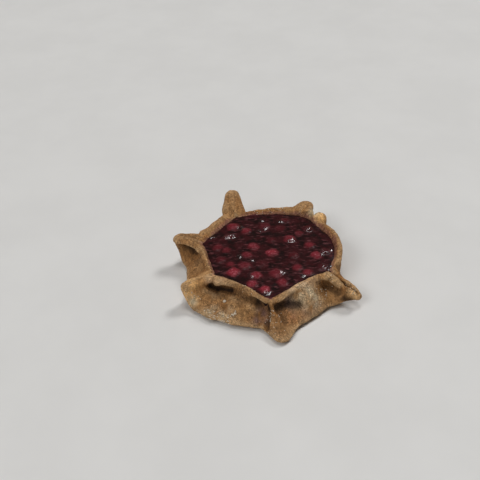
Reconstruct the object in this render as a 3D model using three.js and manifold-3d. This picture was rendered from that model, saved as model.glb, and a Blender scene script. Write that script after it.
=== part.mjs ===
// Open rye pasty, hand pinched: a thin dough case folded up round a filling of berries in dark jam.
// Millimetres, +Z up. The pasty lies on its flat sole and the origin is the middle of its footprint.
import * as THREE from "three";
import { mergeVertices } from "three/addons/utils/BufferGeometryUtils.js";
import Module from "manifold-3d";

// Dough case
const DOUGH = 3.4; // thickness of the rolled sheet
const SOLE_INSET = 3; // the flat sole stays this far inside the foot of the wall
const SOLE_SHARE = 0.6; // a fin's thickness at the sole, as a share of that at the foot
const FOOT_HEIGHT = 2.6; // height of the widest line at the foot of the wall
const LIP_DROP = 1.5; // the lip's two shoulders lie this far below its crest
const LIP_ROOT = 2; // from the opening's corner to the root of a fin at the lip
const CREASE_MIN = 1.6; // shortest groove on top of a pinch
const CREASE_FOOT = 0.5; // length of the groove at the jam
const CREASE_FALL = 0.7; // a longer groove may fall by this share of its further length
const FLARE_FOOT = 0.8; // share by which a fin thickens into the walls at its foot
const FLARE_LIP = 0.35; // the same at the lip
const UNEVEN = 0.6; // hand-made unevenness of the walls

// Filling
const FLOOR = 3.2; // top of the dough under the filling
const WELL_INSET = 1.2; // the well's side stands this far inside the lip
const JAM_LEVEL = 16; // jam against the wall
const JAM_DOME = 0.6; // rise of the jam from the wall to the middle
const JAM_SHOWN = 0.3; // the lip's inner shoulder stays this far above the jam
const WALL_GAP = 0.45; // clearance between jam and dough
const JAM_RADIUS = 38; // from the middle to the wall, on average
const JAM_RINGS = [0.94, 0.8, 0.55, 0.28]; // shares of the way out to the wall
const BERRY_RADIUS = [3, 3.7];
const BERRY_SUNK = [0.5, 0.85]; // share of its radius that a berry's middle lies under the jam
// Middles of the berries that stand out of the jam, from the opening's middle
const BERRIES = [
  [-20.5, 23.9], [-12.5, 19.6], [-23, 13.6], [-8, 4.6], [3, -0.9], [-11.5, -2.9], [-12.5, -12.4],
  [-20.5, -10.9], [-18.5, -17.4], [-6, -19.9], [-8, -27.4], [-1, -31.4], [5.5, -18.4], [8.5, -25.9],
  [17, -13.4], [22.5, -17.4], [13.5, 12.1], [19, 17.1], [25, 6.1], [28, -2.4], [15, -2.9],
  [-23.5, 1.6], [-28.5, 4.1], [-1.5, 24.6], [11, 30.1], [24.5, 22.1], [33.5, 1.1], [30.5, -12.4],
  [-26.5, -6.9], [2, 11.1], [-3, -10.4], [8, 22.6],
];

// The pinches, anticlockwise from the right.
// at, corner: bearing and radius of the opening's corner, from the opening's middle
// heading: bearing of the pinched fin
// reach, stand, foot: from the corner to the fin's end at the lip, to its root and to its end at the foot
// skew: the foot's shift sideways, anticlockwise
// ridge, tip: height of the fin's top at the corner and at its end
// top, base, waist: half thickness at the lip and at the foot, and how far it narrows under its rounded top
// crease, seam: half width of the groove between the two layers of dough, and the share of the reach it runs
const PINCHES = [
  { at: 42.5, corner: 40, heading: 51, reach: 10.5, stand: 4, foot: 6.5, skew: 0,
    ridge: 18.3, tip: 18.8, top: 3.6, base: 3, waist: 0, crease: 0.8, seam: 0.1 },
  { at: 61, corner: 41, heading: 58, reach: 11, stand: 5, foot: 7.5, skew: 0,
    ridge: 19.4, tip: 21.5, top: 4.8, base: 3, waist: 0, crease: 0.8, seam: 0.1 },
  { at: 118, corner: 39.5, heading: 102.5, reach: 19, stand: 7, foot: 10, skew: 1,
    ridge: 17.4, tip: 25, top: 4.6, base: 6, waist: 0.1, crease: 0.8, seam: 0.1 },
  { at: 168, corner: 38.5, heading: 170, reach: 18, stand: 9, foot: 13, skew: 0,
    ridge: 18, tip: 20, top: 3.6, base: 6, waist: 0.7, crease: 0.8, seam: 0.1 },
  { at: 213, corner: 35, heading: 206, reach: 20, stand: 12, foot: 18, skew: 2,
    ridge: 18, tip: 16, top: 3.4, base: 9.5, waist: 0, crease: 0.8, seam: 0.1 },
  { at: 273, corner: 38.5, heading: 278, reach: 5, stand: 8.5, foot: 19.5, skew: 4,
    ridge: 16.6, tip: 15, top: 2.3, base: 6.3, waist: 0, crease: 0.8, seam: 0.1 },
  { at: 335, corner: 37.5, heading: 324, reach: 22, stand: 9, foot: 13, skew: -4,
    ridge: 17.6, tip: 8.5, top: 3.4, base: 5, waist: 0.1, crease: 0.9, seam: 0.82 },
];
// The walls, each from its pinch to the next.
// arch: rise of the lip at mid wall
// bow, skirt: outward bow of the lip and of the foot in plan
// thick: extra thickness of the lip at mid wall
// pits, tucks: depth of the hollows under the lip and of the upright creases, beside the two pinches
// pitsAt: shares of the wall's length from the two pinches to the deepest of their hollows
// steps: columns along the wall
const WALLS = [
  { arch: 1, bow: 1, skirt: 0.5, thick: 0, steps: 4,
    pits: [0.5, 0.5], pitsAt: [0.07, 0.07], tucks: [0, 0] },
  { arch: 0.3, bow: 2, skirt: 3, thick: 0, steps: 12,
    pits: [1.5, 1.5], pitsAt: [0.07, 0.07], tucks: [0.6, 0.6] },
  { arch: 1, bow: 0.5, skirt: 1.5, thick: 1.8, steps: 12,
    pits: [1.5, 2], pitsAt: [0.07, 0.07], tucks: [0.6, 0.6] },
  { arch: 1.5, bow: 0, skirt: 0, thick: 0, steps: 10,
    pits: [4, 1], pitsAt: [0.07, 0.07], tucks: [0, 0] },
  { arch: 3, bow: 0.5, skirt: 0.6, thick: 0, steps: 16,
    pits: [5.5, 4], pitsAt: [0.2, 0.07], tucks: [0, 3] },
  { arch: 3.2, bow: 0.5, skirt: 0.5, thick: 0, steps: 16,
    pits: [2.8, 4.5], pitsAt: [0.13, 0], tucks: [0.5, 0] },
  { arch: 1.5, bow: 7.3, skirt: 0.5, thick: 0.2, steps: 14,
    pits: [0, 1], pitsAt: [0.07, 0.07], tucks: [0.5, 0] },
];
const PIT_WIDTH = 0.16;
const PIT_ON_FIN = 0.4; // the length of a fin, as a share of its wall's
const TUCK_AT = 0.05; // share of the wall's length from the pinch to the deepest of its crease
// Marks left by the fingers: middle, push and width of each dent or bulge, from the opening's middle
const PRESSES = [
  { at: [-28.6, -26, 13], by: [0.8, 2, 0], within: 4 },
  { at: [-22, -29, 13.5], by: [0.6, 1.6, 0], within: 4 },
  { at: [10.5, -38, 12], by: [0, 1.4, 0], within: 5 },
  { at: [22.5, -33, 11.5], by: [1, -2.4, 0.6], within: 6.5 },
  { at: [34.5, -24, 13], by: [-0.8, 1.5, 0.3], within: 4 },
  { at: [47, -22, 14], by: [-1.8, 0.6, -1.4], within: 5.5 },
  { at: [-47.5, 6.5, 13], by: [0.5, 2, 0], within: 4.5 },
  { at: [28, 35, 17], by: [1.8, 2.4, 1.4], within: 5.5 },
  { at: [34, 33, 18], by: [-1.6, 0.2, 0], within: 6 },
  { at: [-25.5, 40, 17], by: [-3, -0.5, 0.4], within: 6 },
  { at: [-41, 16, 17], by: [-1.5, 2.4, 0.6], within: 5 },
];
const PRESS_FREE = 5; // below this height the marks fade out towards the flat sole
const FIN_STEPS = 6; // columns down each side of a fin
const FIN_MIN = 0.4; // least length of a fin on any line round the case
const HALF_MIN = 0.3; // least half thickness
const ROUND_MIN = 0.25; // a fin's rounded end starts at this share of its length or later

const { lerp, clamp, degToRad } = THREE.MathUtils;

// A rail is one closed line round the case.
// root, reach, half: start, end and half thickness of a fin on it, from the opening's corner
// height: from the height of the lip or ridge there, the station on a fin and the way to it from the corner
// lip: 0 goes with the foot, 1 with the lip
// thick, pit, tuck, uneven: share of the lip's extra thickness, of the hollows, creases and unevenness
const rail = (share, inset, rest) => ({
  root: (pinch) => lerp(pinch.stand, LIP_ROOT, share) - inset,
  reach: (pinch) => lerp(pinch.foot, pinch.reach, share) - inset,
  half: (pinch) => lerp(pinch.base, pinch.top, Math.sqrt(share)) - inset,
  lip: share,
  thick: 0,
  pit: 0,
  tuck: 0,
  uneven: 1,
  ...rest,
});
const well = (height) => rail(1, DOUGH, {
  height: () => height,
  root: () => -WELL_INSET,
  reach: () => CREASE_FOOT - WELL_INSET,
  half: (pinch) => pinch.crease,
  uneven: 0,
});
const RAILS = [
  rail(0, SOLE_INSET, { height: () => 0, half: (pinch) => SOLE_SHARE * pinch.base, uneven: 0 }),
  rail(0, 0, { height: () => FOOT_HEIGHT }),
  rail(0.35, 0, { height: (lip) => 0.38 * lip, tuck: 1 }),
  rail(0.7, 0, { height: (lip) => 0.62 * lip, thick: 0.3, pit: 0.35, tuck: 1 }),
  rail(0.92, 0, { height: (lip) => 0.79 * lip, thick: 0.8, pit: 0.45, tuck: 0.5 }),
  rail(1, 0, { height: (lip) => lip - LIP_DROP, thick: 1, pit: -0.5 }),
  rail(1, DOUGH / 2, { height: (lip) => lip, root: () => LIP_ROOT / 2, thick: 0.5, pit: -0.3, uneven: 0.6 }),
  rail(1, DOUGH, {
    height: (lip, station, along) => {
      const low = JAM_LEVEL + JAM_SHOWN - CREASE_FALL * Math.max(along - CREASE_MIN, 0);
      return Math.max(lip - LIP_DROP * (1 - 0.8 * station), low);
    },
    root: () => 0,
    reach: (pinch) => Math.max(pinch.seam * pinch.reach, CREASE_MIN),
    half: (pinch) => pinch.crease,
    uneven: 0.3,
  }),
  well(JAM_LEVEL),
  well(FLOOR),
];
const ROWS = 2; // grid rows from one rail to the next
const JAM_RAIL = RAILS.length - 2;
const WELL_RAIL = RAILS.length - 1;

const bearing = (degrees) => new THREE.Vector2(Math.cos(degToRad(degrees)), Math.sin(degToRad(degrees)));
const pitShare = (along, at) => Math.exp(-(((along - at) / PIT_WIDTH) ** 2));
const tuckShare = (along) => ((along / TUCK_AT) * Math.exp(1 - along / TUCK_AT)) ** 2;
const chance = (n) => Math.abs(Math.sin(n * 12.9898 + 4.1414) * 43758.5453) % 1;

// Smooth unevenness from a few fixed waves, between about -1 and 1, in wave numbers per millimetre.
function unevenness(x, y, z) {
  const long = Math.sin(0.23 * x + 1.3) * Math.sin(0.19 * y + 0.4);
  const slanted = Math.sin(0.31 * z + 0.17 * x - 0.21 * y);
  const short = Math.sin(0.47 * x - 0.33 * y + 2.1) * Math.sin(0.41 * y + 0.52 * z);
  return 0.4 * (long + slanted + short);
}

// A point of a rail, pushed out or in by the hollows and a little by hand.
function railPoint(line, plan, height, pit) {
  const push = line.uneven * UNEVEN * unevenness(plan.x, plan.y, height) - line.pit * pit;
  const grow = 1 + push / plan.length();
  return new THREE.Vector3(plan.x * grow, plan.y * grow, height);
}

// One side of a pinched fin in plan, and its ridge's height.
// station runs from 0 at the root to 1 at the tip, side is -1 clockwise or 1.
function finPlan(line, pinch, station, side) {
  const ahead = bearing(pinch.heading);
  const across = new THREE.Vector2(-ahead.y, ahead.x);
  const root = line.root(pinch);
  const length = Math.max(line.reach(pinch) - root, FIN_MIN);
  const half = Math.max(line.half(pinch), HALF_MIN);
  const round = Math.max(ROUND_MIN, 1 - half / length); // station where the rounded end starts
  const past = Math.max(0, (station - round) / (1 - round));
  const flare = lerp(FLARE_FOOT, FLARE_LIP, Math.sqrt(line.lip)) * (1 - station) ** 3;
  const thick = half * Math.sqrt(1 - past * past) * (1 + flare - pinch.waist * line.pit);
  const along = root + length * station;
  const plan = bearing(pinch.at)
    .multiplyScalar(pinch.corner)
    .addScaledVector(ahead, along)
    .addScaledVector(across, side * thick + pinch.skew * (1 - line.lip));
  const share = clamp((along - root) / (pinch.reach - root), 0, 1);
  return { plan, along, ridge: lerp(pinch.ridge, pinch.tip, share) };
}

function finPoint(line, index, station, side) {
  const { plan, along, ridge } = finPlan(line, PINCHES[index], station, side);
  const wall = side > 0 ? WALLS[index] : WALLS.at(index - 1);
  const end = side > 0 ? 0 : 1;
  const pit = wall.pits[end] * pitShare(-PIT_ON_FIN * station, wall.pitsAt[end]);
  return railPoint(line, plan, line.height(ridge, station, along), pit);
}

// A point along the wall from one pinch's root to the next one's.
function wallPoint(line, index, along) {
  const wall = WALLS[index];
  const [from, to] = [PINCHES[index], PINCHES[(index + 1) % PINCHES.length]];
  const start = finPlan(line, from, 0, 1).plan;
  const end = finPlan(line, to, 0, -1).plan;
  const outward = new THREE.Vector2(end.y - start.y, start.x - end.x).normalize();
  const swell = 4 * along * (1 - along);
  const tuck = wall.tucks[0] * tuckShare(along) + wall.tucks[1] * tuckShare(1 - along);
  const push = (lerp(wall.skirt, wall.bow, line.lip) + line.thick * wall.thick) * swell - line.tuck * tuck;
  const plan = start.clone().lerp(end, along).addScaledVector(outward, push);
  const lip = lerp(from.ridge, to.ridge, along) + wall.arch * swell;
  const shares = [pitShare(along, wall.pitsAt[0]), pitShare(1 - along, wall.pitsAt[1])];
  const pit = wall.pits[0] * shares[0] + wall.pits[1] * shares[1];
  return railPoint(line, plan, line.height(lip, 0, 0), pit);
}

// The rails' points in one column, for each column round the case.
function columnsOfRails() {
  const columns = [];
  WALLS.forEach(({ steps }, index) => {
    const stations = Array.from({ length: FIN_STEPS }, (_, j) => Math.sin((Math.PI / 2) * (j / FIN_STEPS)));
    const fins = [...stations.map((s) => [s, -1]), [1, 1], ...stations.map((s) => [s, 1]).reverse()];
    for (const [station, side] of fins) {
      const points = RAILS.map((line) => finPoint(line, index, station, side));
      columns.push({ inWall: station === 0, points });
    }
    for (let j = 1; j < steps; j++) {
      const along = (1 - Math.cos((Math.PI * j) / steps)) / 2;
      const points = RAILS.map((line) => wallPoint(line, index, along));
      columns.push({ inWall: true, points });
    }
  });
  return columns;
}

// Presses the finger marks into every column.
function pressed(columns) {
  const marks = PRESSES.map(({ at, by, within }) => ({
    middle: new THREE.Vector3(...at),
    push: new THREE.Vector3(...by),
    within,
  }));
  for (const point of columns.flatMap((column) => column.points)) {
    const free = clamp(point.z / PRESS_FREE, 0, 1);
    const moves = marks.map(({ middle, push, within }) => {
      const share = free * Math.exp(-((point.distanceTo(middle) / within) ** 2));
      return push.clone().multiplyScalar(share);
    });
    moves.forEach((move) => point.add(move));
  }
  return columns;
}

// The way from the middle of the case's footprint to the opening's middle.
function openingFromFootprint(columns) {
  const box = new THREE.Box3().setFromPoints(columns.flatMap((column) => column.points));
  return box.getCenter(new THREE.Vector3()).setZ(0).negate();
}

// A closed surface from a grid of columns, with a fan at its first and its last row.
function closedGrid(columns, first, last) {
  const rows = columns[0].length;
  const index = [];
  const at = (column, row) => (column % columns.length) * rows + row;
  const [under, over] = [columns.length * rows, columns.length * rows + 1];
  columns.forEach((_, c) => {
    index.push(under, at(c + 1, 0), at(c, 0), over, at(c, rows - 1), at(c + 1, rows - 1));
    for (let r = 0; r + 1 < rows; r++)
      index.push(at(c, r), at(c + 1, r), at(c + 1, r + 1), at(c, r), at(c + 1, r + 1), at(c, r + 1));
  });
  const geometry = new THREE.BufferGeometry().setFromPoints([...columns.flat(), first, last]);
  return geometry.setIndex(index);
}

// The case: each column is a smooth curve through its rails, from the sole over the lip to the well.
function crustGeometry(columns) {
  const grid = columns.map(({ points }) => {
    const curve = new THREE.CatmullRomCurve3(points.slice(0, WELL_RAIL), false, "centripetal");
    const column = [];
    for (let j = 0; j <= JAM_RAIL * ROWS; j++) column.push(curve.getPoint(j / (JAM_RAIL * ROWS)));
    return [...column, points[WELL_RAIL]];
  });
  return closedGrid(grid, new THREE.Vector3(0, 0, 0), new THREE.Vector3(0, 0, FLOOR));
}

const jamHeight = (share) => JAM_LEVEL + JAM_DOME * (1 - share * share);

// The jam, up to its level inside the case.
function jamGeometry(columns) {
  const inset = (point, height) => {
    const length = Math.hypot(point.x, point.y);
    const kept = 1 - WALL_GAP / length;
    return new THREE.Vector3(point.x * kept, point.y * kept, height);
  };
  const grid = columns.filter((column) => column.inWall).map(({ points }) => {
    const foot = inset(points[WELL_RAIL], FLOOR + WALL_GAP);
    const edge = inset(points[JAM_RAIL], JAM_LEVEL);
    const rings = JAM_RINGS.map((share) => edge.clone().multiplyScalar(share).setZ(jamHeight(share)));
    return [foot, edge, ...rings];
  });
  return closedGrid(grid, new THREE.Vector3(0, 0, FLOOR + WALL_GAP), new THREE.Vector3(0, 0, jamHeight(0)));
}

// The berries, each of its own size and sunk to its own depth.
function berryGeometries() {
  return BERRIES.map(([x, y], n) => {
    const radius = lerp(...BERRY_RADIUS, chance(n));
    const sunk = radius * lerp(...BERRY_SUNK, chance(n + BERRIES.length));
    const level = jamHeight(Math.hypot(x, y) / JAM_RADIUS);
    return new THREE.IcosahedronGeometry(radius, 2).translate(x, y, level - sunk);
  });
}

const wasm = await Module();
wasm.setup();

function solidFrom(geometry) {
  const bare = geometry.clone();
  bare.deleteAttribute("normal");
  bare.deleteAttribute("uv");
  const merged = mergeVertices(bare, 1e-4);
  const vertProperties = new Float32Array(merged.getAttribute("position").array);
  const triVerts = new Uint32Array(merged.index.array);
  return new wasm.Manifold(new wasm.Mesh({ numProp: 3, vertProperties, triVerts }));
}

function geometryFrom(solid) {
  const { vertProperties, triVerts } = solid.getMesh();
  const geometry = new THREE.BufferGeometry();
  geometry.setAttribute("position", new THREE.BufferAttribute(vertProperties, 3));
  return geometry.setIndex(new THREE.BufferAttribute(triVerts, 1));
}

function named(name, geometry, colour, roughness) {
  geometry.translate(opening.x, opening.y, 0);
  geometry.computeVertexNormals();
  const material = new THREE.MeshStandardMaterial({ color: colour, roughness, metalness: 0 });
  const mesh = new THREE.Mesh(geometry, material);
  mesh.name = name;
  return mesh;
}

const columns = pressed(columnsOfRails());
const opening = openingFromFootprint(columns);
const berried = berryGeometries().reduce(
  (solid, berry) => solid.add(solidFrom(berry)),
  solidFrom(jamGeometry(columns)),
);

const pasty = new THREE.Group();
pasty.name = "rye_pasty";
pasty.add(named("crust", crustGeometry(columns), 0x9c7446, 0.85));
pasty.add(named("filling", geometryFrom(berried), 0x4a0f1e, 0.25));

export default pasty;
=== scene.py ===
# Open rye pasty: a fine baked crust, a wrinkled jam surface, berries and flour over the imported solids.
import itertools
import math

import bmesh
import bpy
import numpy as np
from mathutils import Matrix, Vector
from mathutils.bvhtree import BVHTree


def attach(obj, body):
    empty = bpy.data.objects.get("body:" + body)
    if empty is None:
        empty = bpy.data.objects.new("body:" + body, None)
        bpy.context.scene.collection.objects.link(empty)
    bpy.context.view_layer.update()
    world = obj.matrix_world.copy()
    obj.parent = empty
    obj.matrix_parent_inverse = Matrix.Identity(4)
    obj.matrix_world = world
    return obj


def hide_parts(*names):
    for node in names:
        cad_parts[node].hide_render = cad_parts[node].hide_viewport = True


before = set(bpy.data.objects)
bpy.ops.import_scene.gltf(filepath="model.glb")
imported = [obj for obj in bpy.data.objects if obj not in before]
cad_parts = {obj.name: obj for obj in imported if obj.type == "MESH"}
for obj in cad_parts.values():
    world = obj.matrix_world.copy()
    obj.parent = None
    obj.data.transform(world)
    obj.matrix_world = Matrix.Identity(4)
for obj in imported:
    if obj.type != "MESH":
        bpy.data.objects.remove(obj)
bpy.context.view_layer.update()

MM = 0.001
# The opening's middle in the part's frame. Places below are measured from it, in millimetres.
OPENING = np.array([1.5, 2.1, 0])

# Camera, from the photograph's frame of 480 pixels a side
PHOTO_SIDE = 480
PHOTO_FOCAL = 702  # pixels
SENSOR = 36  # millimetres
TARGET = Vector((2.1, 0.5, 18)) * MM
TARGET_PIXEL = (268, 252)
CAMERA_AT = Vector((2.1, -308.7, 277.5)) * MM

# Crust
FINE_LEVELS = 2  # each splits the solid's faces in four
WELD = 1e-7  # metres
CAVITY_ROUNDS = 40
STAIN_WIDTH = 2.4
FOOT_SHADE_HEIGHT = 5  # height up to which the foot of the walls is darkened, as painted shade
# Folds and hollows in the dough, and bulges where the depth is negative: path, width, depth and how dark
# the painted shade in it is
FOLDS = [
    ([(-31, -25.4, 13), (-28, -25.6, 12)], 2.2, 2, 1),
    ([(-28, -25.4, 12.3), (-24, -27.2, 12.8), (-20.5, -29.5, 14)], 1.8, 1.7, 1),
    ([(-31.5, -24, 16.4), (-27.5, -26.8, 17.4)], 2.4, -1.9, 0),
    ([(-28, -27, 10.2), (-23, -30, 10.4)], 3, 0.4, 0.45),
    ([(-19.5, -31, 14.6), (-13, -34.5, 14.2), (-8, -37, 13.5)], 2.6, 0.8, 0.55),
    ([(-10, -37, 14), (-7, -37.5, 14.4), (-4.5, -38.5, 13.8)], 1.3, 0.7, 0.65),
    ([(-4.2, -38.8, 13.2), (-2, -40.3, 12.8), (-0.6, -41.6, 12)], 2.8, 1.6, 1),
    ([(0.2, -41.8, 14.5), (0.5, -43, 12.5), (0.5, -44.5, 9.5)], 1.3, 1.2, 0.95),
    ([(0.4, -44.5, 9.5), (0, -46.5, 6.5), (-0.3, -49, 4.5)], 1.3, 1.5, 0.7),
    ([(5.5, -41.5, 12.5), (9, -38.5, 11.5), (13, -37.5, 11.2), (17, -37, 10.5)], 2.8, 0.9, 0.88),
    ([(0.5, -39, 16.5), (2.5, -40.5, 16.2)], 1.6, -0.8, 0),
    ([(4.6, -41.5, 14), (6, -42, 11.5), (8, -43.5, 8.5), (10, -46.5, 6.8)], 1.6, 1.1, 0.6),
    ([(34, -22.8, 10.8), (36.5, -24, 9.8), (39.5, -25.5, 9.2)], 2.5, 1.3, 0.58),
    ([(33.5, -21.5, 17), (37, -22.5, 15), (40, -24, 13)], 2.6, -1.8, 0),
    ([(34.8, -16.4, 16.4), (36.8, -17.9, 15.6)], 1.6, -1.5, 0),
    ([(42.2, -21.4, 12.2), (45, -23.4, 10.6), (47.5, -25.4, 9.9), (49.3, -27, 9.3)], 1.1, 1.2, 0.7),
    ([(45.7, -21.2, 12.8), (48.3, -23.2, 11.8), (49.3, -25.2, 11.5)], 2.5, -3.3, 0),
    ([(45, -26, 11.6), (48.4, -28.1, 10.7)], 2.2, -1.7, 0),
    ([(42.5, -29, 7), (47, -31, 6.5)], 2.5, 0.7, 0.85),
    ([(-49, 7, 15), (-45.5, 7.8, 13), (-42.5, 6, 12)], 2.4, 1.2, 0.8),
    ([(-28, 40, 12), (-33, 33, 12)], 2.2, 1, 0.7),
    ([(-14, 44, 12), (-7, 43, 12)], 2.2, 1, 0.7),
    ([(13, 42, 12), (18, 42, 11)], 2, 0.8, 0.7),
    ([(37, 26, 12), (41, 19, 12)], 2, 0.8, 0.7),
]
# Patches of other colours on the dough, some of them partly painted highlight or shade: place and radius
PATCHES = {
    "flour": [
        ((20, -33, 14.5), 7), ((24, -33, 12), 7), ((-30, -39, 4.5), 5),
        ((-24, -40.5, 4.5), 5), ((-41, -31, 7), 2.5), ((28.5, 35, 19), 3.5),
    ],
    # Golden dough, partly a painted highlight on the ears' noses and tips
    "gold_and_highlight": [
        ((-47, -28, 13), 9), ((32.5, 31, 18.5), 4), ((49, -28, 10), 3.5),
    ],
    # Toasted dough; the same colour darkens the foot of the walls as painted shade
    "toast_and_shade": [
        ((4.5, -47, 9), 5.5), ((6.5, -52, 6), 5), ((-49, 9, 19), 7), ((-40, -3, 12), 6), ((-43, 10, 19), 6),
        ((-21, -30, 19), 4), ((-17, -32, 19), 4), ((-13, -33.5, 18.8), 4), ((-9, -35, 18.5), 4),
        ((-5, -36.5, 18), 3),
    ],
    "rust": [
        ((20, -39, 6.5), 5), ((15, -42, 6), 4), ((24.5, -36, 6.5), 4),
    ],
    "ochre": [
        ((32, -26.5, 11), 4.5), ((33, -28, 7.5), 3), ((36.5, -23, 15), 4),
    ],
    "blush": [
        ((-30.5, -24.4, 16.6), 3), ((-26, -25.5, 18.6), 3.5), ((20.5, -29, 20), 5), ((13, -34, 19.3), 2),
    ],
    # Purple-brown dough, partly painted shade in the creases and pit beside the middle front ear
    "plum_and_shade": [
        ((11, -37, 12), 4), ((-3, -41, 8), 3.5), ((-4.8, -44, 5.5), 3), ((-1, -46, 5), 3),
    ],
}
PATCH_COVER = 0.95
FOOT_SHADE_COVER = 0.8
# Specks of flour on the dough: place, spread, number and size
SPECKS = [
    ((-23.5, -33.2, 9.4), 0.6, 1, 1.2), ((-17.5, -40.7, 6.7), 1.6, 4, 0.75),
    ((-33, -37.2, 3.8), 3.5, 18, 0.38), ((-28, -40, 3.8), 3.5, 26, 0.4),
    ((-22.5, -41.6, 4.3), 3.5, 22, 0.42), ((-40, -32, 6.5), 5, 10, 0.34),
    ((5, -48, 8), 7, 34, 0.3), ((28, -29, 9), 6, 14, 0.32),
    ((-46, -27, 13), 6, 14, 0.32), ((47, -23.5, 12), 4, 14, 0.3),
    ((46.5, -27.5, 10.5), 2.5, 8, 0.3), ((34, -25, 11), 4, 8, 0.34),
    ((-9, 38.3, 17.4), 4, 12, 0.3), ((0, 39.2, 17.4), 4, 14, 0.3),
    ((8, 38.5, 17), 4, 12, 0.3), ((-10, -34, 19), 4, 8, 0.28),
    ((38, -22, 17), 4, 8, 0.3),
]

# Filling, by the same rules as its solid
JAM_LEVEL = 16
JAM_DOME = 0.6
JAM_RADIUS = 38
JAM_FLOOR = 4
JAM_CELLS = 240  # grid cells across the jam
JAM_INTO_WALL = 0.9  # the jam reaches this far into the dough
JAM_INTO_GROOVE = 0.8  # and this far into the grooves of the pinches
BEARINGS = 720
GROOVE = 9  # a groove is narrower than this many bearings
FILM = 0.06  # jam over a berry's edge
COVER = 0.8  # the jam over a hidden berry lies this much lower than the berry would stand
BERRY_RADIUS = (3, 3.7)
BERRY_SUNK = (0.5, 0.85)
BERRY_FINENESS = 4
BARE = 0.5  # a berry that shows more than this has no jam over its top
# Middle of each berry, and how far its red shows, from 0, under dark jam, to 1
BERRIES = [
    (-20.5, 23.9, 0.6), (-12.5, 19.6, 0.6), (-23, 13.6, 0.15), (-8, 4.6, 0.65),
    (3, -0.9, 1), (-11.5, -2.9, 0.45), (-12.5, -12.4, 0.4), (-20.5, -10.9, 0.45),
    (-18.5, -17.4, 0.95), (-6, -19.9, 0.7), (-8, -27.4, 0.75), (-1, -31.4, 1),
    (5.5, -18.4, 0.45), (8.5, -25.9, 0.6), (17, -13.4, 0.5), (22.5, -17.4, 0.65),
    (13.5, 12.1, 0.6), (19, 17.1, 0.35), (25, 6.1, 0.55), (28, -2.4, 0.75),
    (15, -2.9, 0.2), (-23.5, 1.6, 0.35), (-28.5, 4.1, 0.35), (-1.5, 24.6, 0.25),
    (11, 30.1, 0.2), (24.5, 22.1, 0.15), (33.5, 1.1, 0.15), (30.5, -12.4, 0.1),
    (-26.5, -6.9, 0.2), (2, 11.1, 0.15), (-3, -10.4, 0.15), (8, 22.6, 0.2),
]
# Wet beads of jam that sparkle: middle and radius of each group, and how many there are
BEADS = [
    (-22.3, 14.3, 3, 9), (-15.6, -4.8, 0.8, 2), (-8.5, -7.7, 0, 1), (14.2, 10.6, 1.6, 5), (32, -12, 0, 1),
    (35.5, -13, 1.5, 3), (0, -34, 1, 4), (8.2, -18.6, 1.5, 3), (25.2, 20.8, 1.2, 4), (37, 2, 0.5, 2),
    (-32.5, 14, 0.8, 2), (-8.9, -19.7, 1.5, 3), (32.3, 0.3, 1.5, 4), (20, -20.4, 0, 1), (7.9, 28.7, 0.8, 2),
    (-3.1, 29.7, 0, 1), (-2.5, 20, 2.5, 4), (-14.5, 22, 2, 4),
]
BEAD_WIDTH = 1
BEAD_HEIGHT = 0.54

# Soft lights: the direction they come from, their width in degrees and their strength
LIGHTS = {
    "key": ((430, 380, 720), 16, 1.08),
    "fill": ((-480, -420, 620), 26, 0.85),
    "spark": ((-220, -200, 800), 7, 0.2),
    "softbox": ((0, 60, 900), 20, 0.75),
}
HORIZON = 0.58  # light of the surroundings, from low down
ZENITH = 0.07  # and from above

FLOOR_HALF = 2500
FLOOR_LEVEL = -0.1

HASH_FACTORS = np.array([73856093, 19349663, 83492791])


def hashed(cells, seed):
    """A fixed number between 0 and 1 for each whole-number cell."""
    mixed = (cells * HASH_FACTORS).sum(-1) + seed * 2654435761
    mixed = (mixed ^ (mixed >> 13)) * 1274126177
    mixed = mixed ^ (mixed >> 16)
    return (mixed & 0xFFFFFF) / 0xFFFFFF


def noise(points, size, seed):
    """Smooth noise between -1 and 1 whose features have that size, one size or one for each axis."""
    scaled = points / np.asarray(size, float)
    cell = np.floor(scaled).astype(np.int64)
    part = scaled - cell
    part = part * part * (3 - 2 * part)
    total = np.zeros(len(points))
    for corner in itertools.product((0, 1), repeat=3):
        weight = np.where(corner, part, 1 - part).prod(-1)
        total += weight * hashed(cell + np.array(corner), seed)
    return 2 * total - 1


def fractal(points, size, seed, octaves=3):
    """Noise of that size with finer noise on it."""
    layers = [noise(points, np.asarray(size, float) / 2**k, seed + k) / 2**k for k in range(octaves)]
    return sum(layers)


def smoothstep(low, high, values):
    share = np.clip((values - low) / (high - low), 0, 1)
    return share * share * (3 - 2 * share)


def smooth_max(first, second, blend):
    """The larger of two heights, rounded where they meet."""
    return (first + second + np.sqrt((first - second) ** 2 + blend**2)) / 2


def bell(distance, width, power=2):
    return np.exp(-((distance / width) ** power))


def chance(n):
    """A fixed number between 0 and 1 for each n, as in the solid."""
    return abs(math.sin(n * 12.9898 + 4.1414) * 43758.5453) % 1


def lerp(ends, share):
    return ends[0] + (ends[1] - ends[0]) * share


def path_distance(points, path):
    """Distance from each point to a path of straight stretches."""
    nearest = np.full(len(points), np.inf)
    for start, end in itertools.pairwise(np.asarray(path, float)):
        along = end - start
        share = np.clip((points - start) @ along / (along @ along), 0, 1)
        gap = np.linalg.norm(points - start - share[:, None] * along, axis=1)
        nearest = np.minimum(nearest, gap)
    return nearest


# Meshes

def linked(name, data):
    piece = bpy.data.objects.new(name, data)
    bpy.context.scene.collection.objects.link(piece)
    return piece


def mesh_from(name, points, faces):
    mesh = bpy.data.meshes.new(name)
    mesh.from_pydata(((np.asarray(points) + OPENING) * MM).tolist(), [], faces)
    mesh.shade_smooth()
    return mesh


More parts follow.
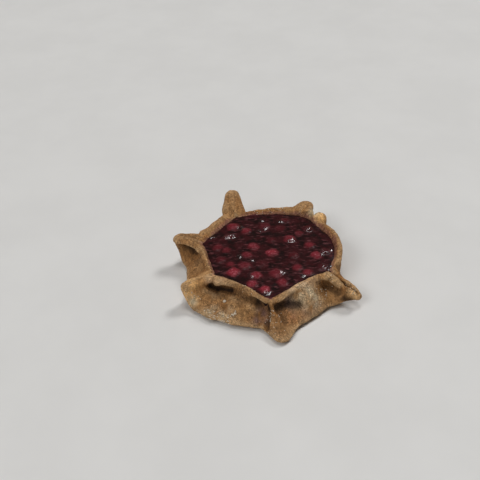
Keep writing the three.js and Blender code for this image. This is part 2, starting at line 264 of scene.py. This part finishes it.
def points_of(mesh):
    """The mesh's points and their normals."""
    flat = np.zeros(len(mesh.vertices) * 3, np.float32)
    mesh.vertices.foreach_get("co", flat)
    points = flat.reshape(-1, 3).astype(float) / MM - OPENING
    mesh.vertices.foreach_get("normal", flat)
    return points, flat.reshape(-1, 3).astype(float)


def set_points(mesh, points):
    mesh.vertices.foreach_set("co", ((points + OPENING) * MM).astype(np.float32).ravel())
    mesh.update()


def set_attribute(mesh, name, values):
    attribute = mesh.attributes.new(name, "FLOAT", "POINT")
    attribute.data.foreach_set("value", np.asarray(values, np.float32))


def relaxed(points, mesh, rounds):
    """The points, averaged with their neighbours round after round."""
    edges = np.zeros(len(mesh.edges) * 2, np.int32)
    mesh.edges.foreach_get("vertices", edges)
    pairs = edges.reshape(-1, 2)
    pairs = np.concatenate([pairs, pairs[:, ::-1]])
    count = np.bincount(pairs[:, 0], minlength=len(points))[:, None]
    for _ in range(rounds):
        near = points[pairs[:, 1]]
        sums = [np.bincount(pairs[:, 0], near[:, k], len(points)) for k in range(3)]
        points = (points + np.stack(sums, 1) / count) / 2
    return points


def unit_ball(fineness):
    """Points and faces of a ball of radius 1."""
    bm = bmesh.new()
    bmesh.ops.create_icosphere(bm, subdivisions=fineness, radius=1)
    points = np.array([v.co for v in bm.verts])
    faces = np.array([[v.index for v in f.verts] for f in bm.faces])
    bm.free()
    return points, faces


def joined(name, shapes, faces):
    """One mesh of many shapes that have the same faces."""
    all_faces = [faces + n * len(shape) for n, shape in enumerate(shapes)]
    return mesh_from(name, np.concatenate(shapes), np.concatenate(all_faces).tolist())


# Node trees

def add(tree, kind, inputs=None, **settings):
    """A node with its settings made and its inputs set or linked."""
    made = tree.nodes.new(kind)
    for key, value in settings.items():
        setattr(made, key, value)
    for key, value in (inputs or {}).items():
        if isinstance(value, bpy.types.NodeSocket):
            tree.links.new(value, made.inputs[key])
        else:
            made.inputs[key].default_value = value
    return made


def mixed(tree, share, first, second, blend="MIX"):
    """Colour socket between two colours or colour sockets."""
    as_colour = lambda c: c if isinstance(c, bpy.types.NodeSocket) else (*c, 1)
    inputs = {0: share, 6: as_colour(first), 7: as_colour(second)}
    return add(tree, "ShaderNodeMix", inputs, data_type="RGBA", blend_type=blend).outputs[2]


def ranged(tree, value, low, high, to_low=0.0, to_high=1.0):
    """Value socket mapped smoothly from one range to another."""
    inputs = {"Value": value, "From Min": low, "From Max": high, "To Min": to_low, "To Max": to_high}
    return add(tree, "ShaderNodeMapRange", inputs, interpolation_type="SMOOTHSTEP").outputs["Result"]


def grain(tree, place, size, detail=2.0):
    """Noise socket with features of that size in millimetres."""
    inputs = {"Vector": place, "Scale": 1 / (size * MM), "Detail": detail, "Roughness": 0.6}
    return add(tree, "ShaderNodeTexNoise", inputs).outputs["Fac"]


def product(tree, first, second):
    return add(tree, "ShaderNodeMath", {0: first, 1: second}, operation="MULTIPLY").outputs[0]


def attribute(tree, name):
    return add(tree, "ShaderNodeAttribute", attribute_name=name).outputs["Fac"]


def material(name, roughness):
    """A node material: itself, its tree, its shader, and the place on the object."""
    made = bpy.data.materials.new(name)
    made.use_nodes = True
    tree = made.node_tree
    shader = tree.nodes["Principled BSDF"]
    shader.inputs["Roughness"].default_value = roughness
    place = add(tree, "ShaderNodeTexCoord").outputs["Object"]
    return made, tree, shader, place


def connect(tree, shader, **sockets):
    for name, socket in sockets.items():
        tree.links.new(socket, shader.inputs[name.replace("_", " ")])


def bump(tree, height, distance):
    inputs = {"Height": height, "Distance": distance * MM, "Strength": 1.0}
    return add(tree, "ShaderNodeBump", inputs).outputs["Normal"]


# Crust

TAN = (0.35, 0.185, 0.073)
OCHRE = (0.3, 0.14, 0.046)
BROWN = (0.14, 0.064, 0.023)
# Painted highlight for convex ridges and lip edges
RIDGE_HIGHLIGHT = (0.5, 0.33, 0.175)
# Painted shade for folds and hollows, partly the dough's own darker bake there
HOLLOW_SHADE = (0.018, 0.008, 0.004)
STAIN = (0.22, 0.085, 0.075)
CRUMB_TAN = (0.55, 0.43, 0.3)
CRUMB_WHITE = (0.75, 0.68, 0.56)
PATCH_COLOURS = {
    # golden dough, partly painted highlight
    "gold_and_highlight": (0.92, 0.54, 0.215),
    # toasted dough, also painted shade at the foot of the walls
    "toast_and_shade": (0.2, 0.1, 0.038),
    "rust": (0.26, 0.12, 0.055),
    "ochre": (0.33, 0.165, 0.05),
    "blush": (0.62, 0.39, 0.235),
    # purple-brown, partly painted shade
    "plum_and_shade": (0.17, 0.1, 0.09),
    "flour": (0.57, 0.465, 0.305),
}


def crust_material():
    """Baked dough: mottled and patched, with upright streaks, speckles and pores, painted shade in folds
    and hollows and painted highlight on ridges.
    """
    made, tree, shader, place = material("rye_dough", 0.85)
    colour = mixed(tree, ranged(tree, grain(tree, place, 11), 0.35, 0.65), TAN, OCHRE)
    mottled = ranged(tree, grain(tree, place, 4.5, 4), 0.48, 0.66, 0, 0.5)
    colour = mixed(tree, mottled, colour, BROWN)
    for name, tint in PATCH_COLOURS.items():
        colour = mixed(tree, attribute(tree, name), colour, tint)
    # Painted highlight along the convex ridges and lip edges
    colour = mixed(tree, attribute(tree, "ridge_highlight"), colour, RIDGE_HIGHLIGHT)
    colour = mixed(tree, attribute(tree, "stain"), colour, STAIN)
    # Painted shade in the folds and concave hollows
    colour = mixed(tree, attribute(tree, "hollow_shade"), colour, HOLLOW_SHADE)
    pulled = add(tree, "ShaderNodeMapping", {"Vector": place, "Scale": (1, 1, 0.25)}).outputs["Vector"]
    streaked = ranged(tree, grain(tree, pulled, 1.3, 4), 0.3, 0.7, 0.68, 1.32)
    colour = mixed(tree, 1.0, colour, streaked, "MULTIPLY")
    coarse = ranged(tree, grain(tree, place, 7, 2), 0.42, 0.6, 0.3, 1)
    speckled = ranged(tree, grain(tree, place, 0.65, 2), 0.3, 0.7, 1.6, 0.5)
    colour = mixed(tree, coarse, colour, speckled, "MULTIPLY")
    pores = ranged(tree, grain(tree, place, 1.1, 2), 0.62, 0.72, 1, 0.55)
    colour = mixed(tree, 1.0, colour, pores, "MULTIPLY")
    height = grain(tree, place, 0.8, 5)
    connect(tree, shader, Base_Color=colour, Normal=bump(tree, height, 0.3))
    shader.inputs["Specular IOR Level"].default_value = 0.2
    return made


def refined(name, node):
    """A smooth, finer copy of a node's mesh, as an object."""
    bm = bmesh.new()
    bm.from_mesh(node.data)
    bmesh.ops.remove_doubles(bm, verts=bm.verts, dist=WELD)
    bmesh.ops.join_triangles(
        bm, faces=bm.faces, angle_face_threshold=math.pi, angle_shape_threshold=math.pi
    )
    coarse = bpy.data.meshes.new(name)
    bm.to_mesh(coarse)
    bm.free()
    piece = linked(name, coarse)
    modifier = piece.modifiers.new("fine", "SUBSURF")
    modifier.levels = FINE_LEVELS
    depsgraph = bpy.context.evaluated_depsgraph_get()
    fine = bpy.data.meshes.new_from_object(piece.evaluated_get(depsgraph))
    piece.modifiers.clear()
    piece.data = fine
    bpy.data.meshes.remove(coarse)
    fine.name = name
    fine.materials.clear()
    fine.shade_smooth()
    return piece


def fold_in(points, normals):
    """Presses the folds in, and gives how much painted shade they leave at each point."""
    outward = points[:, :2] / np.linalg.norm(points[:, :2], axis=1)[:, None]
    facing = smoothstep(-0.5, 0, (normals[:, :2] * outward).sum(1))
    fold_shade = np.zeros(len(points))
    sunk = np.zeros(len(points))
    for path, width, depth, shade in FOLDS:
        distance = path_distance(points, path)
        sunk += depth * facing * bell(distance, width)
        fold_shade = np.maximum(fold_shade, shade * facing * bell(distance, width, 3))
    points -= normals * sunk[:, None]
    return fold_shade


def stained(points, wall):
    """How far juice has soaked into the dough: most at the jam's edge."""
    bearing = np.arctan2(points[:, 1], points[:, 0])
    out = np.hypot(points[:, 0], points[:, 1]) - np.interp(bearing, *wall)
    soaked = 1 - smoothstep(0.2, STAIN_WIDTH, out + 1.3 * fractal(points, 5, 71))
    return 0.6 * soaked * smoothstep(JAM_LEVEL - 1, JAM_LEVEL, points[:, 2])


def patch_shares(points, patches):
    """How far the patches cover each point, with uneven edges."""
    shares = [bell(np.linalg.norm(points - place, axis=1), radius) for place, radius in patches]
    return np.max(shares, axis=0) * smoothstep(-0.9, 0.4, fractal(points, 4, 81))


def relief(points):
    """Lumps, fine grain and upright wrinkles of the dough, fading out at the sole."""
    lift = 0.3 * fractal(points, 8, 11) + 0.1 * fractal(points, 2.4, 21, 2)
    lift += 0.2 * fractal(points, (3, 3, 12), 31, 2)
    return lift * smoothstep(0.3, 2.5, points[:, 2])


def set_patches(mesh, points):
    """Marks the patches of colour, and darkens the foot of the walls all round as painted shade."""
    shares = {name: patch_shares(points, patches) for name, patches in PATCHES.items()}
    # Painted shade: darker towards the foot of the walls
    foot = 1 - smoothstep(0, FOOT_SHADE_HEIGHT, points[:, 2] + 1.5 * fractal(points, 4, 75))
    shares["toast_and_shade"] = np.maximum(shares["toast_and_shade"], FOOT_SHADE_COVER * foot)
    for name, share in shares.items():
        set_attribute(mesh, name, PATCH_COVER * share)


def crust_piece():
    """The dough case: a finer copy of its solid, with folds, relief and colours."""
    piece = refined("rye_crust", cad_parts["crust"])
    mesh = piece.data
    points, normals = points_of(mesh)
    fold_shade = fold_in(points, normals)
    set_points(mesh, points)
    points, normals = points_of(mesh)
    cavity = ((relaxed(points, mesh, CAVITY_ROUNDS) - points) * normals).sum(1)
    points += normals * relief(points)[:, None]
    set_points(mesh, points)
    # Painted shade: the folds, and the hollows found from the surface's cavity, are darkened
    set_attribute(mesh, "hollow_shade", np.maximum(fold_shade, 0.8 * smoothstep(0.5, 1.3, cavity)))
    # Painted highlight on convex ridges
    set_attribute(mesh, "ridge_highlight", 0.55 * smoothstep(0.06, 0.5, -cavity))
    set_attribute(mesh, "stain", stained(points, wall_radius(piece)))
    set_patches(mesh, points)
    mesh.materials.append(crust_material())
    return piece


def specks_piece(crust):
    """Crumbs of flour that stick to the dough."""
    points, normals = points_of(crust.data)
    ball, faces = unit_ball(2)
    pick = np.random.default_rng(5)
    shapes = []
    for place, spread, number, size in SPECKS:
        near = np.flatnonzero(np.linalg.norm(points - place, axis=1) < spread)
        for n in pick.choice(near, number, replace=False):
            stretch = size * pick.uniform(0.5, 1, 3)
            dents = 1 + 0.25 * fractal(ball + 9 * len(shapes), 0.8, 91)
            shapes.append(points[n] + normals[n] * 0.2 * size + ball * dents[:, None] * stretch)
    mesh = joined("flour_specks", shapes, faces)
    made, tree, shader, place = material("flour_crumb", 0.8)
    tone = ranged(tree, grain(tree, place, 0.8), 0.35, 0.65)
    connect(tree, shader, Base_Color=mixed(tree, tone, CRUMB_TAN, CRUMB_WHITE))
    mesh.materials.append(made)
    return linked("flour_specks", mesh)


# Filling

JAM_BLACK = (0.014, 0.0062, 0.0058)
JAM_WINE = (0.04, 0.0085, 0.0095)
# Paler jam, partly painted sheen in streaks
JAM_ROSE_SHEEN = (0.15, 0.05, 0.055)
BERRY_RED = (0.235, 0.024, 0.034)
BERRY_PINK = (0.46, 0.12, 0.15)


def jam_material():
    """Dark jam with paler streaks, partly painted sheen, and the red of the berries in and under it."""
    made, tree, shader, place = material("berry_jam", 0.3)
    stretched = add(tree, "ShaderNodeMapping", {"Vector": place, "Scale": (0.3, 1, 1)}).outputs["Vector"]
    colour = mixed(tree, ranged(tree, grain(tree, place, 5, 3), 0.35, 0.65), JAM_BLACK, JAM_WINE)
    # Streaks of paler colour along the jam, partly painted sheen
    sheen_streaks = ranged(tree, grain(tree, stretched, 1.2, 4), 0.53, 0.7, 0, 0.75)
    colour = mixed(tree, sheen_streaks, colour, JAM_ROSE_SHEEN)
    red = attribute(tree, "berry")
    pale = product(tree, red, ranged(tree, grain(tree, place, 1.1, 3), 0.5, 0.66, 0, 0.9))
    colour = mixed(tree, red, colour, mixed(tree, pale, BERRY_RED, BERRY_PINK))
    wet = attribute(tree, "wet")
    rough = ranged(tree, wet, 0, 1, 0.33, 0.05)
    gloss = ranged(tree, wet, 0, 1, 0.08, 1)
    height = grain(tree, stretched, 1.2, 3)
    connect(tree, shader, Base_Color=colour, Roughness=rough, Specular_IOR_Level=gloss)
    connect(tree, shader, Normal=bump(tree, height, 0.16))
    return made


def jam_rise(x, y):
    return JAM_LEVEL + JAM_DOME * (1 - (x**2 + y**2) / JAM_RADIUS**2)


def berry_places():
    """Middle and radius of each berry, and how far its red shows."""
    places = []
    for n, (x, y, shown) in enumerate(BERRIES):
        radius = lerp(BERRY_RADIUS, chance(n))
        sunk = radius * lerp(BERRY_SUNK, chance(n + len(BERRIES)))
        places.append((np.array([x, y, jam_rise(x, y) - sunk]), radius, shown))
    return places


def wall_radius(crust):
    """Bearings, and the distance from the middle to the dough at the jam's level along each.

    A bearing that leaves through a groove stops a little past its neighbours.
    """
    tree = BVHTree.FromObject(crust, bpy.context.evaluated_depsgraph_get())
    middle = Vector((OPENING + (0, 0, JAM_LEVEL)) * MM)
    bearings = np.linspace(-math.pi, math.pi, BEARINGS + 1)
    hits = [tree.ray_cast(middle, (math.cos(a), math.sin(a), 0))[3] for a in bearings]
    radius = np.array([math.inf if hit is None else hit for hit in hits]) / MM
    near = [np.roll(radius, k) for k in range(-GROOVE, GROOVE + 1)]
    return bearings, np.minimum(radius, np.median(near, axis=0) + JAM_INTO_GROOVE)


def jam_grid(wall):
    """Plan points of a square grid bent to fill the opening, and their distance from the wall."""
    steps = np.linspace(-1, 1, JAM_CELLS + 1)
    u, v = (a.ravel() for a in np.meshgrid(steps, steps))
    wide = np.abs(u) >= np.abs(v)
    share = np.where(wide, u, v)
    safe = np.where(share == 0, 1, share)
    angle = np.where(wide, math.pi / 4 * v / safe, math.pi / 2 - math.pi / 4 * u / safe)
    x, y = share * np.cos(angle), share * np.sin(angle)
    radius = np.interp(np.arctan2(y, x), *wall)
    reach = radius + JAM_INTO_WALL
    inside = radius - np.abs(share) * reach
    return np.stack([x * reach, y * reach, np.zeros_like(x)], 1), inside


def bead_places():
    """Plan places of the wet beads, scattered over their groups."""
    pick = np.random.default_rng(3)
    places = []
    for x, y, radius, number in BEADS:
        for out, turn in pick.random((number, 2)):
            off = radius * math.sqrt(out)
            places.append((x + off * math.cos(math.tau * turn), y + off * math.sin(math.tau * turn)))
    return places


def beaded(points, beads, width):
    """How near each point is to a wet bead, from 0 to 1 on it."""
    return np.max([bell(np.hypot(points[:, 0] - x, points[:, 1] - y), width) for x, y in beads], axis=0)


def jam_ripple(points, inside):
    """Streaks and soft lumps, and an uneven edge along the wall."""
    ripple = 0.08 * fractal(points, (5, 2.4, 1), 41) + 0.18 * fractal(points, 5, 51)
    edge = np.exp(-np.maximum(inside, 0) / 1.5)
    return ripple + edge * (0.45 * noise(points, 7, 65) - 0.15)


def foot_radius(middle, radius):
    """Radius of a berry where it comes out of the jam."""
    return math.sqrt(radius**2 - (JAM_LEVEL - middle[2]) ** 2)


def redness(points, berry):
    """How far a berry's red shows at each point: fading unevenly into the jam round its foot."""
    middle, radius, shown = berry
    off = np.hypot(points[:, 0] - middle[0], points[:, 1] - middle[1]) / foot_radius(middle, radius)
    smeared = off + 0.3 * fractal(points, 2.6, 55)
    return shown * (1 - smoothstep(0.5, 1.6, smeared))


def jam_level(points, berries):
    """Height of the jam, which climbs over the berries."""
    level = jam_rise(points[:, 0], points[:, 1])
    for middle, radius, shown in berries:
        off = np.hypot(points[:, 0] - middle[0], points[:, 1] - middle[1])
        foot = foot_radius(middle, radius)
        dome = np.sqrt(np.maximum(radius**2 - off**2, 0)) - 3 * np.maximum(off - radius, 0)
        bare = lerp((-0.4, FILM), smoothstep(0.5 * foot, 0.95 * foot, off))
        film = bare if shown > BARE else FILM - COVER * bell(off, foot)
        level = smooth_max(level, middle[2] + dome + film, 1.1)
    return level


def jam_piece(wall, berries, beads):
    """The jam: its uneven surface, its side along the wall and its underside."""
    points, inside = jam_grid(wall)
    points[:, 2] = jam_level(points, berries) + jam_ripple(points, inside)
    points[:, 2] += BEAD_HEIGHT * beaded(points, beads, BEAD_WIDTH)
    side = JAM_CELLS + 1
    index = np.arange(side * side).reshape(side, side)
    quads = np.stack([index[:-1, :-1], index[:-1, 1:], index[1:, 1:], index[1:, :-1]], -1)
    rim = np.concatenate([index[0, :-1], index[:-1, -1], index[-1, :0:-1], index[:0:-1, 0]])
    foot = np.arange(len(rim)) + side * side
    skirt = np.stack([rim, foot, np.roll(foot, -1), np.roll(rim, -1)], -1)
    low = points[rim] * (1, 1, 0) + (0, 0, JAM_FLOOR)
    faces = [*quads.reshape(-1, 4).tolist(), *skirt.tolist(), foot[::-1].tolist()]
    mesh = mesh_from("jam", np.concatenate([points, low]), faces)
    points, _ = points_of(mesh)
    set_attribute(mesh, "berry", np.max([redness(points, berry) for berry in berries], axis=0))
    set_attribute(mesh, "wet", beaded(points, beads, 1.6 * BEAD_WIDTH))
    mesh.materials.append(jam_material())
    return linked("jam", mesh)


def berries_piece(berries, beads, skin):
    """The berries whose tops stand out of the jam."""
    ball, faces = unit_ball(BERRY_FINENESS)
    shapes, red = [], []
    for n, berry in enumerate(berries):
        middle, radius, shown = berry
        if shown > BARE:
            dents = 1 + 0.09 * fractal(ball + 7 * n, 0.55, 61)
            shape = middle + ball * dents[:, None] * radius
            shape[:, 2] += BEAD_HEIGHT * beaded(shape, beads, BEAD_WIDTH)
            shapes.append(shape)
            red.append(redness(shape, berry))
    mesh = joined("berries", shapes, faces)
    set_attribute(mesh, "berry", np.concatenate(red))
    set_attribute(mesh, "wet", beaded(np.concatenate(shapes), beads, 1.6 * BEAD_WIDTH))
    mesh.materials.append(skin)
    return linked("berries", mesh)


# Stage

FLOOR_GREY = (0.72, 0.71, 0.69)
FLOOR_WHITE = (0.75, 0.74, 0.72)


def floor():
    signs = [(-1, -1), (1, -1), (1, 1), (-1, 1)]
    corners = [(x * FLOOR_HALF, y * FLOOR_HALF, FLOOR_LEVEL) for x, y in signs]
    mesh = mesh_from("floor", corners, [(0, 1, 2, 3)])
    made, tree, shader, place = material("floor", 0.7)
    tone = ranged(tree, grain(tree, place, 60, 3), 0.3, 0.7)
    connect(tree, shader, Base_Color=mixed(tree, tone, FLOOR_GREY, FLOOR_WHITE))
    mesh.materials.append(made)
    linked("floor", mesh)


def soft_sun(name, at, angle, strength):
    """An even light from that direction, as wide as the angle in degrees."""
    data = bpy.data.lights.new(name, "SUN")
    data.angle = math.radians(angle)
    data.energy = strength
    lamp = linked(name, data)
    lamp.rotation_mode = "QUATERNION"
    lamp.rotation_quaternion = Vector(at).to_track_quat("Z", "Y")


def lights():
    for name, (at, angle, strength) in LIGHTS.items():
        soft_sun(name, at, angle, strength)
    world = bpy.data.worlds.new("studio")
    bpy.context.scene.world = world
    world.use_nodes = True
    tree = world.node_tree
    back = tree.nodes["Background"]
    back.inputs["Color"].default_value = (1, 1, 1, 1)
    up = add(tree, "ShaderNodeSeparateXYZ", {0: add(tree, "ShaderNodeTexCoord").outputs["Generated"]})
    tree.links.new(ranged(tree, up.outputs["Z"], 0, 0.25, HORIZON, ZENITH), back.inputs["Strength"])


def camera():
    data = bpy.data.cameras.new("camera")
    data.sensor_width = SENSOR
    data.lens = SENSOR * PHOTO_FOCAL / PHOTO_SIDE
    piece = linked("camera", data)
    piece.location = CAMERA_AT
    piece.rotation_mode = "QUATERNION"
    half = PHOTO_SIDE / 2
    ray = Vector(((TARGET_PIXEL[0] - half) / PHOTO_FOCAL, (half - TARGET_PIXEL[1]) / PHOTO_FOCAL, -1))
    turn = ray.normalized().rotation_difference(Vector((0, 0, -1)))
    piece.rotation_quaternion = (TARGET - CAMERA_AT).to_track_quat("-Z", "Y") @ turn
    bpy.context.scene.camera = piece


def dress(piece, replaced=None):
    """Hides the solid a piece replaces and lets the piece ride on the part."""
    if replaced:
        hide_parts(replaced)
    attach(piece, "root")


bpy.context.scene.view_settings.view_transform = "Standard"
camera()
lights()
floor()
crust = crust_piece()
places = berry_places()
dress(crust, "crust")
dress(specks_piece(crust))
beads = bead_places()
jam = jam_piece(wall_radius(crust), places, beads)
dress(jam, "filling")
dress(berries_piece(places, beads, jam.active_material))
